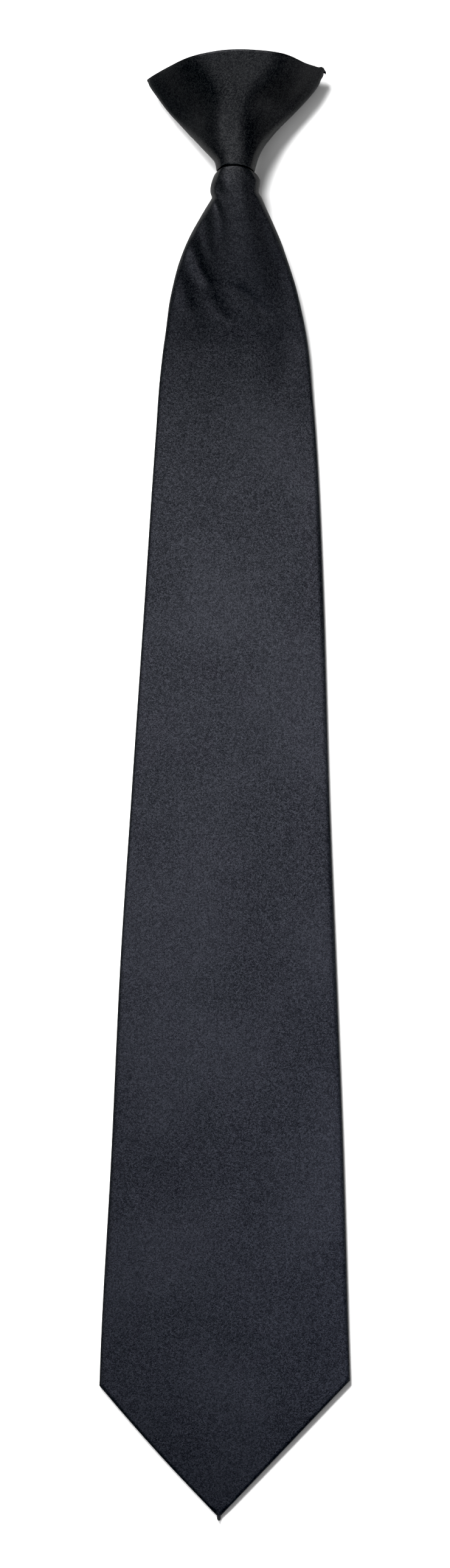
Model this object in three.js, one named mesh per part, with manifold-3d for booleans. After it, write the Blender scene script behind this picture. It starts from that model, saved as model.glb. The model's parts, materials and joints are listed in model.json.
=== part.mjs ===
import * as THREE from 'three';
import { mergeVertices } from 'three/addons/utils/BufferGeometryUtils.js';
import Module from 'manifold-3d';

// A ready-tied clip-on necktie that lies face up, in millimetres. x runs across the tie, y runs from
// the point of the blade up to the knot, and z is up, off the table. While the pieces are drawn, y is 0
// at the lip of the knot, where the blade comes out of it.

const wasm = await Module();
wasm.setup();

const { lerp, clamp, smoothstep, degToRad } = THREE.MathUtils;

// Fit between pieces, and how far a cutter reaches past what it cuts
const clearance = 0.3;

// Clip behind the knot
const clipThickness = 1.8;
const collarGap = 5;
const clipTopMargin = 5.4;
const plateWidth = 24;
const plateEndWidth = 22;
const plateLength = 22;
const tongueEndWidth = 15;
const tongueLength = 26;
const tongueLeadIn = 2.4;
const clipCornerRadius = 4;

// Knot
const knotWidth = 61.4;
const knotHeight = 41.7;
const crestDrop = 8.3;
const crestBow = 2.1;
const wingSkew = 1.7;
const wingThickness = 2.9;
const wingFold = 9.8;
const knotWall = 1.4;
const crestDepth = 15.8;
const rimRadius = 2.4;
const ringWidth = 13.3;
const ringDepth = 13.6;
const ringRoll = 1.6;
const lipArch = 2.2;

// Blade
const bladeLength = 466.4;
const bladeWidth = 86.9;
const pointHeight = 47.6;
const pointOffset = 1.6;
const pointThickness = 2.6;
const pointFill = 4.8;
const pointEdgeBow = 0.8;
const cornerStagger = 2.6;
const nubWidth = 1.3;
const nubLength = 1.6;
const foldedThickness = 3.6;
const clothWall = 1.2;
const gatherWall = 2.6;
const gatherLength = 13;
const gatherFade = 26;
const plugLength = 6;
const seamGap = 0.8;
const hemWidth = 9;
const openingRise = 46;

// Heights and lengths that follow from the sizes above
const knotBack = clipThickness * 2 + collarGap + clearance;
const ringCentre = knotBack + ringDepth / 2;
const straightLength = bladeLength - pointHeight;

// How finely curves and sections are divided
const arcSegments = 8;
const rollTurns = [90, 45];
const rimBends = [90, 60, 30, 0];
const knotColumns = 19;
const bladeColumns = 15;
const pointShares = [0.25, 0.5, 0.75];

// The knot opens from an oval into a ridge with wings, and the folds of the wings fill its sides:
// both between two shares of its height. The ridge is level out to the plateau, a share of the half
// width, and the wings lie flat from the toe
const knotOpening = { from: 0.06, to: 0.62 };
const wingFilling = { from: 0.2, to: 0.7 };
const knotRidge = { plateau: 0.16, toe: 0.9 };

// The top edge of the knot rolls over towards a pivot, a share of the way up from its lower side
const rimFlattening = 0.5;
const rimPivot = 0.25;

// The neck of the blade opens from an oval into a folded cloth between two shares of straightLength
const neckOpening = { from: 0.01, to: 0.07 };
const bladeRidge = { plateau: 0.05, toe: 1 };

// Sections of the knot. rise is a share of its height up from the lip, left and right are shares of the
// way from half of the ring's width out to half of the knot's
const knotRows = [
  { rise: 0, left: 0, right: 0 },
  { rise: 0.08, left: 0.02, right: 0.03 },
  { rise: 0.16, left: 0.1, right: 0.07 },
  { rise: 0.24, left: 0.205, right: 0.13 },
  { rise: 0.34, left: 0.33, right: 0.24 },
  { rise: 0.45, left: 0.47, right: 0.38 },
  { rise: 0.56, left: 0.605, right: 0.535 },
  { rise: 0.68, left: 0.745, right: 0.71 },
  { rise: 0.8, left: 0.865, right: 0.85 },
  { rise: 0.9, left: 0.955, right: 0.94 },
  { rise: 1, left: 1, right: 1 },
];

// Sections of the blade from the lip down to the corners. down is a share of straightLength, left and
// right are shares of half of bladeWidth. top is the front's height at the middle, a share of the way
// from foldedThickness up to the front of the ring. under is the back's height, a share of knotBack
const bladeRows = [
  { down: 0.001, left: 0.152, right: 0.152, top: 1, under: 1.08 },
  { down: 0.0048, left: 0.175, right: 0.183, top: 1.008, under: 1.03 },
  { down: 0.01, left: 0.192, right: 0.196, top: 1.008, under: 1 },
  { down: 0.0155, left: 0.201, right: 0.189, top: 0.995, under: 1.005 },
  { down: 0.0215, left: 0.188, right: 0.206, top: 0.978, under: 1 },
  { down: 0.03, left: 0.233, right: 0.244, top: 0.935, under: 0.95 },
  { down: 0.04, left: 0.289, right: 0.29, top: 0.882, under: 0.89 },
  { down: 0.06, left: 0.389, right: 0.375, top: 0.76, under: 0.75 },
  { down: 0.08, left: 0.459, right: 0.443, top: 0.635, under: 0.62 },
  { down: 0.11, left: 0.522, right: 0.526, top: 0.455, under: 0.43 },
  { down: 0.15, left: 0.57, right: 0.598, top: 0.255, under: 0.22 },
  { down: 0.21, left: 0.615, right: 0.653, top: 0.08, under: 0.05 },
  { down: 0.26, left: 0.645, right: 0.687, top: 0.02, under: 0 },
  { down: 0.36, left: 0.7, right: 0.735, top: 0, under: 0 },
  { down: 0.51, left: 0.785, right: 0.79, top: 0, under: 0 },
  { down: 0.66, left: 0.867, right: 0.86, top: 0, under: 0 },
  { down: 0.81, left: 0.922, right: 0.929, top: 0, under: 0 },
  { down: 0.96, left: 0.987, right: 0.984, top: 0, under: 0 },
  { down: 1, left: 1, right: 1, top: 0, under: 0 },
];

// Sections in the folded stretch are halved: the first and the last row that it reaches
const foldedStretch = { first: 5, last: 11 };

// Main folds that run down from the gathers. from and to are shares of straightLength, start and end
// are shares of half of the width there, width and depth are counted in foldedThickness
const foldRows = [
  { from: 0.022, to: 0.066, start: -0.72, end: -0.5, width: 0.8, depth: 0.42 },
  { from: 0.058, to: 0.096, start: -0.82, end: -0.48, width: 0.9, depth: 0.3 },
  { from: 0.02, to: 0.112, start: 0.52, end: 0.76, width: 1.1, depth: 0.42 },
  { from: 0.1, to: 0.168, start: 0.78, end: 0.66, width: 1.3, depth: 0.2 },
];

const satin = new THREE.MeshStandardMaterial({ color: '#26282d', roughness: 0.55, metalness: 0 });
satin.name = 'satin';
const clipPlastic = new THREE.MeshStandardMaterial({ color: '#101011', roughness: 0.45, metalness: 0 });
clipPlastic.name = 'clip_plastic';

// Smooth curve through two columns of a table, which doesn't overshoot its rows
function curveThrough(table, key, column) {
  const x = table.map((row) => row[key]);
  const y = table.map((row) => row[column]);
  const chord = x.slice(1).map((value, i) => (y[i + 1] - y[i]) / (value - x[i]));
  const slope = x.map((_, i) => {
    const before = chord[i - 1] ?? chord[i];
    const after = chord[i] ?? chord[i - 1];
    return before * after > 0 ? (2 * before * after) / (before + after) : 0;
  });
  return (at) => {
    const place = clamp(at, x[0], x[x.length - 1]);
    const i = Math.min(x.filter((value) => value <= place).length, x.length - 1) - 1;
    const step = x[i + 1] - x[i];
    const t = (place - x[i]) / step;
    const flat = 1 - t;
    const ends = y[i] * (1 + 2 * t) * flat * flat + y[i + 1] * (3 - 2 * t) * t * t;
    return ends + step * t * flat * (slope[i] * flat - slope[i + 1] * t);
  };
}

const knotLeft = curveThrough(knotRows, 'rise', 'left');
const knotRight = curveThrough(knotRows, 'rise', 'right');
const bladeLeft = curveThrough(bladeRows, 'down', 'left');
const bladeRight = curveThrough(bladeRows, 'down', 'right');
const bladeTop = curveThrough(bladeRows, 'down', 'top');
const bladeUnder = curveThrough(bladeRows, 'down', 'under');

// Columns across a section: flat runs from -1 to 1 between the rolled edges, and turn is the angle
// in degrees that a rolled edge has turned through
function sectionColumns(flatCount, turns) {
  const flats = Array.from({ length: flatCount }, (_, i) => (2 * i) / (flatCount - 1) - 1);
  return [
    ...turns.map((turn) => ({ flat: -1, turn: -turn })),
    ...flats.map((flat) => ({ flat, turn: 0 })),
    ...turns.toReversed().map((turn) => ({ flat: 1, turn })),
  ];
}

// Height of the hump across a section, from 1 at the plateau down to 0 at the toe
function hump(share, plateau, toe) {
  const down = clamp((Math.abs(share) - plateau) / (toe - plateau), 0, 1);
  return (1 + Math.cos(Math.PI * down)) / 2;
}

// One closed cross-section: its front from left to right, then its back from right to left.
// round is 1 for an oval section and 0 for a humped one, and dip lowers the front where a fold runs
function sectionRing(columns, profile, along) {
  const { centre, half, edge, roll, top, under, round, plateau, toe, dip } = profile;
  const rows = columns.map(({ flat, turn }) => {
    const angle = degToRad(turn);
    const x = flat * (half - roll) + Math.sin(angle) * roll;
    const share = x / half;
    const oval = Math.sqrt(Math.max(0, 1 - share * share));
    const lift = lerp(hump(share, plateau, toe), oval, round);
    const front = lerp(edge + roll, top, lift) - dip(x);
    const back = lerp(edge - roll, under, lift);
    const middle = (front + back) / 2;
    const reach = Math.cos(angle);
    const y = along(share, centre + x);
    return {
      front: new THREE.Vector3(centre + x, y, lerp(middle, front, reach)),
      back: new THREE.Vector3(centre + x, y, lerp(middle, back, reach)),
    };
  });
  const inner = rows.slice(1, -1).toReversed();
  return [...rows.map((row) => row.front), ...inner.map((row) => row.back)];
}

// Closed surface through sections that run from the knot towards the point
function loft(rings) {
  const count = rings[0].length;
  const last = count / 2;
  const triangles = [];
  for (let row = 0; row < rings.length - 1; row += 1) {
    for (let i = 0; i < count; i += 1) {
      const a = row * count + i;
      const b = row * count + ((i + 1) % count);
      triangles.push(a, a + count, b, b, a + count, b + count);
    }
  }
  for (let i = 0; i < last; i += 1) {
    const corners = [i, i + 1, count - i - 1, (count - i) % count];
    const [a, b, c, d] = corners;
    const [e, f, g, h] = corners.map((corner) => corner + (rings.length - 1) * count);
    if (i < last - 1) {
      triangles.push(a, b, c, e, g, f);
    }
    if (i > 0) {
      triangles.push(a, c, d, e, h, g);
    }
  }
  const geometry = new THREE.BufferGeometry();
  const positions = rings.flat().flatMap((point) => point.toArray());
  geometry.setAttribute('position', new THREE.Float32BufferAttribute(positions, 3));
  geometry.setIndex(triangles);
  return geometry;
}

// Solid of a closed geometry, ready to be joined or cut
function solidOf(geometry) {
  geometry.deleteAttribute('normal');
  geometry.deleteAttribute('uv');
  const merged = mergeVertices(geometry);
  return new wasm.Manifold(
    new wasm.Mesh({
      numProp: 3,
      vertProperties: new Float32Array(merged.attributes.position.array),
      triVerts: new Uint32Array(merged.index.array),
    }),
  );
}

// Outline drawn in x and y, raised from one height to another
function raised(outline, low, high) {
  const geometry = new THREE.ExtrudeGeometry(outline, {
    depth: high - low,
    bevelEnabled: false,
    curveSegments: arcSegments,
  });
  geometry.translate(0, 0, low);
  return solidOf(geometry);
}

// Side view drawn in y and z, made as wide as given across the middle of the tie
function acrossTie(sideView, width) {
  const geometry = new THREE.ExtrudeGeometry(sideView, {
    depth: width,
    bevelEnabled: false,
    curveSegments: arcSegments,
  });
  geometry.translate(0, 0, -width / 2);
  const [x, y, z] = [new THREE.Vector3(1, 0, 0), new THREE.Vector3(0, 1, 0), new THREE.Vector3(0, 0, 1)];
  geometry.applyMatrix4(new THREE.Matrix4().makeBasis(y, z, x));
  return solidOf(geometry);
}

function namedMesh(name, solid, material) {
  const { vertProperties, triVerts } = solid.getMesh();
  const geometry = new THREE.BufferGeometry();
  geometry.setAttribute('position', new THREE.BufferAttribute(vertProperties, 3));
  geometry.setIndex(new THREE.BufferAttribute(triVerts, 1));
  geometry.computeVertexNormals();
  const mesh = new THREE.Mesh(geometry, material);
  mesh.name = name;
  return mesh;
}

// The lip of the ring is arched: its middle stands higher up the tie than its sides
function lipLine(x) {
  const share = x / (ringWidth / 2);
  return lipArch * Math.max(0, 1 - share * share);
}

// Section of the knot at a share of its height: an oval at the ring, a ridge with thin wings at the top
function knotProfile(rise) {
  const spread = smoothstep(rise, knotOpening.from, knotOpening.to);
  const left = lerp(ringWidth / 2, knotWidth / 2, knotLeft(rise));
  const right = lerp(ringWidth / 2, knotWidth / 2, knotRight(rise));
  return {
    centre: (right - left) / 2,
    half: (left + right) / 2,
    edge: lerp(ringCentre, knotBack + wingThickness / 2, spread),
    roll: lerp(ringRoll, wingThickness / 2, spread),
    top: knotBack + lerp(ringDepth, crestDepth, rise * rise),
    under: knotBack,
    round: 1 - spread,
    plateau: knotRidge.plateau,
    toe: knotRidge.toe,
    dip: () => 0,
  };
}

// Space inside the knot: it follows the outside, and stops short of the pressed folds of the wings
function knotLining(rise) {
  const outside = knotProfile(rise);
  const spread = 1 - outside.round;
  const filled = smoothstep(rise, wingFilling.from, wingFilling.to);
  const half = outside.half - lerp(knotWall, wingFold, filled);
  const roll = lerp(ringRoll * (1 - (2 * knotWall) / ringDepth), clearance, spread);
  return {
    ...outside,
    half,
    roll,
    edge: lerp(ringCentre, knotBack + knotWall + clearance, spread),
    top: outside.top - knotWall,
    under: knotBack + knotWall,
    plateau: (outside.plateau * outside.half) / half,
    toe: 1,
  };
}

// Place up the tie of a point of the knot, from the lip to the bowed crest between the wing tips
function knotAlong(rise, share) {
  const crest = knotHeight - crestDrop * Math.abs(share) ** crestBow + wingSkew * share;
  return lerp(lipArch * (1 - share * share), crest, rise);
}

// The top edge of the knot rolls over: bend is the angle that it has turned through
function rimRing(columns, bend) {
  const angle = degToRad(bend);
  const rise = 1 - (rimRadius / knotHeight) * (1 - Math.sin(angle));
  const flattening = rimFlattening * (1 - Math.cos(angle));
  const ring = sectionRing(columns, knotProfile(rise), (share) => knotAlong(rise, share));
  const count = ring.length;
  return ring.map((point, i) => {
    const opposite = ring[(count - i) % count];
    const low = Math.min(point.z, opposite.z);
    const pivot = lerp(low, Math.max(point.z, opposite.z), rimPivot);
    return new THREE.Vector3(point.x, point.y, lerp(point.z, pivot, flattening));
  });
}

function knotWrap() {
  const columns = sectionColumns(knotColumns, rollTurns);
  const bodyRises = knotRows.map(({ rise }) => rise).toReversed().slice(1);
  const outside = [
    ...rimBends.map((bend) => rimRing(columns, bend)),
    ...bodyRises.map((rise) => sectionRing(columns, knotProfile(rise), (share) => knotAlong(rise, share))),
  ];
  const liningTop = 1 - (rimRadius + knotWall) / knotHeight;
  const belowLip = lipArch + knotWall;
  const inside = [liningTop, ...bodyRises].map((rise) =>
    sectionRing(columns, knotLining(rise), (share) => knotAlong(rise, share)),
  );
  const mouth = inside.at(-1).map((point) => new THREE.Vector3(point.x, point.y - belowLip, point.z));
  return solidOf(loft(outside)).subtract(solidOf(loft([...inside, mouth])));
}

// Where the left and right edges of the blade lie, at a distance down from the lip
function bladeEdges(down) {
  const half = bladeWidth / 2;
  const sides = [
    { turnDown: straightLength + cornerStagger / 2, reach: bladeLeft, end: pointOffset, bow: pointEdgeBow },
    { turnDown: straightLength - cornerStagger / 2, reach: bladeRight, end: -pointOffset, bow: 0 },
  ];
  const [left, right] = sides.map(({ turnDown, reach, end, bow }) => {
    if (down <= turnDown) {
      return half * reach(down / turnDown);
    }
    const share = Math.min(1, (down - turnDown) / (bladeLength - nubLength - turnDown));
    const straight = lerp(half, end + nubWidth / 2, share);
    return straight + bow * Math.sin(Math.PI * share);
  });
  return { left, right };
}

// How far the folds lower the front of the blade
function foldDip(down, x, half) {
  const share = down / straightLength;
  const dips = foldRows.map(({ from, to, start, end, width, depth }) => {
    const run = clamp((share - from) / (to - from), 0, 1);
    const aside = (x - lerp(start, end, run) * half) / (width * foldedThickness);
    return depth * foldedThickness * Math.sin(Math.PI * run) * Math.exp(-aside * aside);
  });
  return dips.reduce((sum, value) => sum + value, 0);
}

// Section of the blade at a distance down from the lip: gathered at the neck, then spreading and
// sinking until it lies flat as folded cloth with rolled edges. inset takes it in by a wall
function bladeProfile(down, inset = 0) {
  const share = down / straightLength;
  const { left, right } = bladeEdges(down);
  const slope = Math.abs(bladeEdges(down + 1).left - left);
  const sideInset = inset * Math.hypot(1, slope);
  const half = (left + right) / 2;
  const pressed = clamp((down - straightLength) / pointHeight, 0, 1);
  const folded = lerp(foldedThickness, pointThickness, pressed * pressed);
  const top = folded + (knotBack + ringDepth - foldedThickness) * bladeTop(share);
  const under = knotBack * bladeUnder(share);
  const rollInset = half > folded ? inset : inset / 2;
  return {
    centre: (right - left) / 2,
    half: half - sideInset,
    edge: (top + under) / 2,
    roll: Math.min(folded, half - sideInset) / 2 - rollInset,
    top: top - inset,
    under: under + inset,
    round: 1 - smoothstep(share, neckOpening.from, neckOpening.to),
    plateau: bladeRidge.plateau,
    toe: bladeRidge.toe,
    dip: (x) => foldDip(down, x, half),
  };
}

// The neck of the blade fits the inside of the ring
function plugProfile() {
  const ring = knotLining(0);
  return {
    ...ring,
    half: ring.half - clearance,
    top: ring.top - clearance,
    under: ring.under + clearance,
  };
}

function blade() {
  const columns = sectionColumns(bladeColumns, rollTurns);
  const shares = bladeRows.flatMap(({ down }, i) => {
    const folded = i >= foldedStretch.first && i < foldedStretch.last;
    return folded ? [down, (down + bladeRows[i + 1].down) / 2] : [down];
  });
  const straight = shares.slice(0, -1).map((share) => share * straightLength);
  const corners = [straightLength - cornerStagger / 2, straightLength + cornerStagger / 2];
  const nub = bladeLength - nubLength;
  const point = pointShares.map((share) => lerp(corners[1], nub, share));
  const bladeAlong = (down) => (share, x) =>
    lipLine(x) * (1 - smoothstep(down, clearance, gatherLength)) - down;
  const ringAt = (down, profile) => sectionRing(columns, profile, bladeAlong(down));
  const outside = [
    ringAt(-plugLength, plugProfile()),
    ringAt(clearance, plugProfile()),
    ...[...straight, ...corners, ...point, nub, bladeLength].map((down) => ringAt(down, bladeProfile(down))),
  ];

  const wallAt = (down) => {
    const thinned = smoothstep(down, gatherLength, gatherLength + gatherFade);
    return lerp(gatherWall, clothWall, thinned);
  };
  const hollowEnd = nub - pointFill;
  const hollowStraight = straight.filter((down) => down > gatherLength);
  const hollow = [gatherLength, ...hollowStraight, ...corners, ...point, hollowEnd];
  const inside = hollow.map((down) => ringAt(down, bladeProfile(down, wallAt(down))));

  const midHeight = (down) => {
    const { edge } = bladeProfile(down);
    return edge;
  };
  const seamEnd = straightLength - openingRise + seamGap;
  const seamStops = [...hollow.filter((down) => down > gatherLength && down < seamEnd), seamEnd];
  const seam = new THREE.Shape([
    new THREE.Vector2(-seamEnd, -clearance),
    new THREE.Vector2(-seamStops[0], -clearance),
    ...seamStops.map((down) => new THREE.Vector2(-down, midHeight(down))),
  ]);

  const half = bladeWidth / 2;
  const hemRise = hemWidth * Math.hypot(1, pointHeight / half);
  const openingSide = (half - hemWidth) * (pointHeight / half);
  const opening = new THREE.Shape([
    new THREE.Vector2(0, openingRise - straightLength),
    new THREE.Vector2(hemWidth - half, hemRise + openingSide - bladeLength),
    new THREE.Vector2(-pointOffset, hemRise - bladeLength),
    new THREE.Vector2(half - hemWidth, hemRise + openingSide - bladeLength),
  ]);

  return solidOf(loft(outside))
    .subtract(solidOf(loft(inside)))
    .subtract(acrossTie(seam, seamGap))
    .subtract(raised(opening, -clearance, foldedThickness / 2));
}

// Flat view of one leaf of the clip: straight sides that taper to an end with round corners
function leafOutline(rootY, rootWidth, endY, endWidth) {
  const outline = new THREE.Shape();
  const slant = (rootWidth - endWidth) / 2 / (rootY - endY);
  const corner = endWidth / 2;
  const cornerTop = corner + slant * clipCornerRadius;
  outline.moveTo(rootWidth / 2, rootY);
  outline.lineTo(-rootWidth / 2, rootY);
  outline.lineTo(-cornerTop, endY + clipCornerRadius);
  outline.quadraticCurveTo(-corner, endY, clipCornerRadius - corner, endY);
  outline.lineTo(corner - clipCornerRadius, endY);
  outline.quadraticCurveTo(corner, endY, cornerTop, endY + clipCornerRadius);
  outline.closePath();
  return outline;
}

function collarClip() {
  const outerRadius = clipThickness + collarGap / 2;
  const bendTop = knotHeight - clipTopMargin;
  const bendY = bendTop - outerRadius;
  const plateEnd = bendTop - plateLength;
  const tongueEnd = bendTop - tongueLength;
  const height = outerRadius * 2;

  const side = new THREE.Shape();
  side.moveTo(tongueEnd, 0);
  side.lineTo(bendY, 0);
  side.absarc(bendY, outerRadius, outerRadius, -Math.PI / 2, Math.PI / 2, false);
  side.lineTo(plateEnd, height);
  side.lineTo(plateEnd, height - clipThickness);
  side.lineTo(bendY, height - clipThickness);
  side.absarc(bendY, outerRadius, collarGap / 2, Math.PI / 2, -Math.PI / 2, true);
  side.lineTo(tongueEnd + tongueLeadIn, clipThickness);
  side.lineTo(tongueEnd, clipThickness / 2);
  side.closePath();

  const above = bendTop + clearance;
  const join = outerRadius + clearance;
  const tongue = raised(leafOutline(above, plateWidth, tongueEnd, tongueEndWidth), -clearance, join);
  const plateOutline = leafOutline(above, plateWidth, plateEnd, plateEndWidth);
  const plate = raised(plateOutline, outerRadius, join + outerRadius);
  return acrossTie(side, plateWidth + clearance).intersect(tongue.add(plate));
}

const tie = new THREE.Group();
tie.add(
  namedMesh('knot_wrap', knotWrap(), satin),
  namedMesh('blade', blade(), satin),
  namedMesh('collar_clip', collarClip(), clipPlastic),
);

// The origin is under the middle of the tie, on the table
const box = new THREE.Box3().setFromObject(tie);
const centre = box.getCenter(new THREE.Vector3());
tie.position.set(-centre.x, -centre.y, -box.min.z);

export default tie;
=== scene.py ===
"""A ready-tied clip-on necktie in near-black satin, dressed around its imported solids.

The tie lies face up on a white table. The cloth pieces are drawn in millimetres from the lip of the
knot, like a pattern: down runs from the lip to the point of the blade, across runs to the right and
height is off the table. They become metres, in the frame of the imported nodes, when they are placed.
"""

import json
import logging
import math
from dataclasses import dataclass
from enum import Enum
from typing import Callable, Iterable, Optional, Sequence

import bmesh
import bpy
from mathutils import Matrix, Vector, noise

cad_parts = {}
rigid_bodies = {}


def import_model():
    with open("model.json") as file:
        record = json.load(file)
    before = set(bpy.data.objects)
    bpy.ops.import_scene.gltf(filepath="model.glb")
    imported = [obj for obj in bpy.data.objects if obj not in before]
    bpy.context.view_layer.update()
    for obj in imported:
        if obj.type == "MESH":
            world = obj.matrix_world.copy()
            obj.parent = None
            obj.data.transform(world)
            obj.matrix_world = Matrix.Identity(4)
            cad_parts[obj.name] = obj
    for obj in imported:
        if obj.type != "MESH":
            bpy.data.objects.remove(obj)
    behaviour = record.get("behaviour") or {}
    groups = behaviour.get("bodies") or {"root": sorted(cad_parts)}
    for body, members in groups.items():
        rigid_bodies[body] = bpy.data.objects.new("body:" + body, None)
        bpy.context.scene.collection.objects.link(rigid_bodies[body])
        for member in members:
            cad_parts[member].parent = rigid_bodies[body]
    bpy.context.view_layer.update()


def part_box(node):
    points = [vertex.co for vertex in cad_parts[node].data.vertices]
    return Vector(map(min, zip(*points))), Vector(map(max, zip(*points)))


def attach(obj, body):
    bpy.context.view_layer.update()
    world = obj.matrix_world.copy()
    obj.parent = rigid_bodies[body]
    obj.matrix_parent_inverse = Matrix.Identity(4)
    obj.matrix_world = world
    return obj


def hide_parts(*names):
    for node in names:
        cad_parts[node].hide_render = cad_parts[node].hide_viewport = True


MM = 0.001
CLOTH_UV = "cloth"
log = logging.getLogger("clip_on_tie")


def lerp(start: float, end: float, share: float) -> float:
    """Value at a share of the way from start to end."""
    return start + (end - start) * share


def clamp(value: float, low: float = 0.0, high: float = 1.0) -> float:
    """Value held between two limits."""
    return max(low, min(high, value))


def smoothstep(value: float, low: float, high: float) -> float:
    """Soft step from 0 at low to 1 at high."""
    t = clamp((value - low) / (high - low))
    return t * t * (3 - 2 * t)


def spread(start: float, end: float, step: float) -> list[float]:
    """Evenly spaced values from start up to, but not including, end, about one step apart."""
    count = max(1, round(abs(end - start) / step))
    return [lerp(start, end, i / count) for i in range(count)]


class SmoothCurve:
    """Smooth curve through the rows of a table, which doesn't overshoot them."""

    def __init__(self, places: Sequence[float], values: Sequence[float]) -> None:
        """Works out the slope at each row.

        Args:
            places: where each row stands, in rising order.
            values: the value at each row.
        """
        self.places = list(places)
        self.values = list(values)
        chords = [
            (values[i + 1] - values[i]) / (places[i + 1] - places[i]) for i in range(len(places) - 1)
        ]
        before = [chords[0], *chords]
        after = [*chords, chords[-1]]
        self.slopes = [2 * a * b / (a + b) if a * b > 0 else 0.0 for a, b in zip(before, after)]

    def __call__(self, place: float) -> float:
        """Value of the curve at a place, held at its end values outside the table.

        Args:
            place: where to read the curve.

        Returns:
            The value there.
        """
        place = clamp(place, self.places[0], self.places[-1])
        i = min(sum(1 for p in self.places if p <= place), len(self.places) - 1) - 1
        step = self.places[i + 1] - self.places[i]
        t = (place - self.places[i]) / step
        left = self.values[i] * (1 + 2 * t) * (1 - t) ** 2 + self.slopes[i] * step * t * (1 - t) ** 2
        right = self.values[i + 1] * (3 - 2 * t) * t * t - self.slopes[i + 1] * step * t * t * (1 - t)
        return left + right


def curves(rows: Sequence[Sequence[float]]) -> list[SmoothCurve]:
    """One curve for each column of a table after its first, which says where each row stands."""
    places, *columns = zip(*rows)
    return [SmoothCurve(places, column) for column in columns]


# From the ridge out to the edge, the share of the hump's height that is left
GENTLE_SLOPE = SmoothCurve(
    (0.0, 0.05, 0.2, 0.4, 0.6, 0.8, 0.95, 1.0), (1.0, 1.0, 0.94, 0.73, 0.43, 0.15, 0.01, 0.0)
)


# How full an oval section is: 2 makes an ellipse, and more makes its front and back flatter
FULLNESS = 2.5


class Stretch(Enum):
    """The stretch of a folded cloth that a column of its mesh lies in, from its left free edge."""

    LEFT_FLAP = "left flap"
    LEFT_ROLL = "left roll"
    FRONT = "front"
    RIGHT_ROLL = "right roll"
    RIGHT_FLAP = "right flap"


@dataclass(frozen=True)
class Column:
    """One column of a folded cloth: its stretch, and its share of the way through that stretch."""

    stretch: Stretch
    share: float


@dataclass(frozen=True)
class Section:
    """A cross-section of folded cloth, in millimetres.

    The front and the back are humped or oval between two rolled edges. slopes give the hump on the
    left and on the right, ease widens its top, and a crispness below 1 makes the edges' folds tighter.
    """

    half: float
    edge: float
    roll: float
    top: float
    under: float
    oval: float
    centre: float = 0.0
    ridge: float = 0.0
    slopes: tuple[SmoothCurve, SmoothCurve] = (GENTLE_SLOPE, GENTLE_SLOPE)
    ease: float = 0.0
    crispness: float = 1.0

    def lift(self, across: float) -> float:
        """How far up its hump the cloth stands at a distance across.

        Args:
            across: distance from the middle of the section.

        Returns:
            A share, 0 at the edges and 1 on the ridge.
        """
        beside = across - self.ridge
        side = 1 if beside > 0 else 0
        room = self.half - self.ridge if beside > 0 else self.half + self.ridge
        out = clamp(abs(beside) / room)
        hump = self.slopes[side](out - self.ease * math.sin(math.pi * out))
        return lerp(hump, (1 - out ** FULLNESS) ** (1 / FULLNESS), self.oval)

    def front(self, across: float) -> float:
        """Height of the front at a distance across."""
        return lerp(self.edge + self.roll, self.top, self.lift(across))

    def back(self, across: float) -> float:
        """Height of the back at a distance across."""
        return lerp(self.edge - self.roll, self.under, self.lift(across))

    def place(self, column: Column, free_edge: tuple[float, float], relief: float = 0.0) -> Vector:
        """Where a column of the cloth crosses this section.

        Args:
            column: the column.
            free_edge: how far from the middle the left and the right flap end.
            relief: how much higher than the plain front the cloth stands there.

        Returns:
            Across and height, in a vector whose down is 0.
        """
        flat = self.half - self.roll
        if column.stretch is Stretch.FRONT:
            across = lerp(-flat, flat, column.share)
            return Vector((self.centre + across, 0.0, self.front(across) + relief))
        left = column.stretch in (Stretch.LEFT_FLAP, Stretch.LEFT_ROLL)
        side = -1.0 if left else 1.0
        if column.stretch in (Stretch.LEFT_FLAP, Stretch.RIGHT_FLAP):
            out = column.share if left else 1 - column.share
            across = lerp(side * free_edge[0 if left else 1], side * flat, out)
            return Vector((self.centre + across, 0.0, self.back(across)))
        turn = math.pi * (1 - column.share if left else column.share)
        outward = abs(math.sin(turn)) ** self.crispness
        upward = math.copysign(abs(math.cos(turn)) ** self.crispness, math.cos(turn))
        across = side * (flat + self.roll * outward)
        front, back = self.front(across) + relief, self.back(across)
        middle = (front + back) / 2
        return Vector((self.centre + across, 0.0, middle + (front - middle) * upward))


@dataclass(frozen=True)
class Crease:
    """A soft valley, or a ridge where depth is negative, pressed into the front of the cloth.

    path holds places down and across in millimetres, and the crease fades out at both ends.
    """

    path: tuple[tuple[float, float], ...]
    width: float
    depth: float
    widen: float = 1.0

    def relief(self, down: float, across: float) -> float:
        """How much higher the crease leaves the cloth at a place, less than 0 in a valley.

        Args:
            down: distance down from the lip of the knot.
            across: distance to the right of the tie's middle.

        Returns:
            The change of height, in millimetres.
        """
        first, last = self.path[0][0], self.path[-1][0]
        run = (down - first) / (last - first)
        if not -0.25 < run < 1.25:
            return 0.0
        line = SmoothCurve([d for d, _ in self.path], [a for _, a in self.path])
        fade = smoothstep(run, -0.25, 0.3) * (1 - smoothstep(run, 0.7, 1.25))
        width = self.width * lerp(1.0, self.widen, clamp(run))
        aside = (across - line(down)) / width
        return -self.depth * fade * math.exp(-aside * aside)


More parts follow.
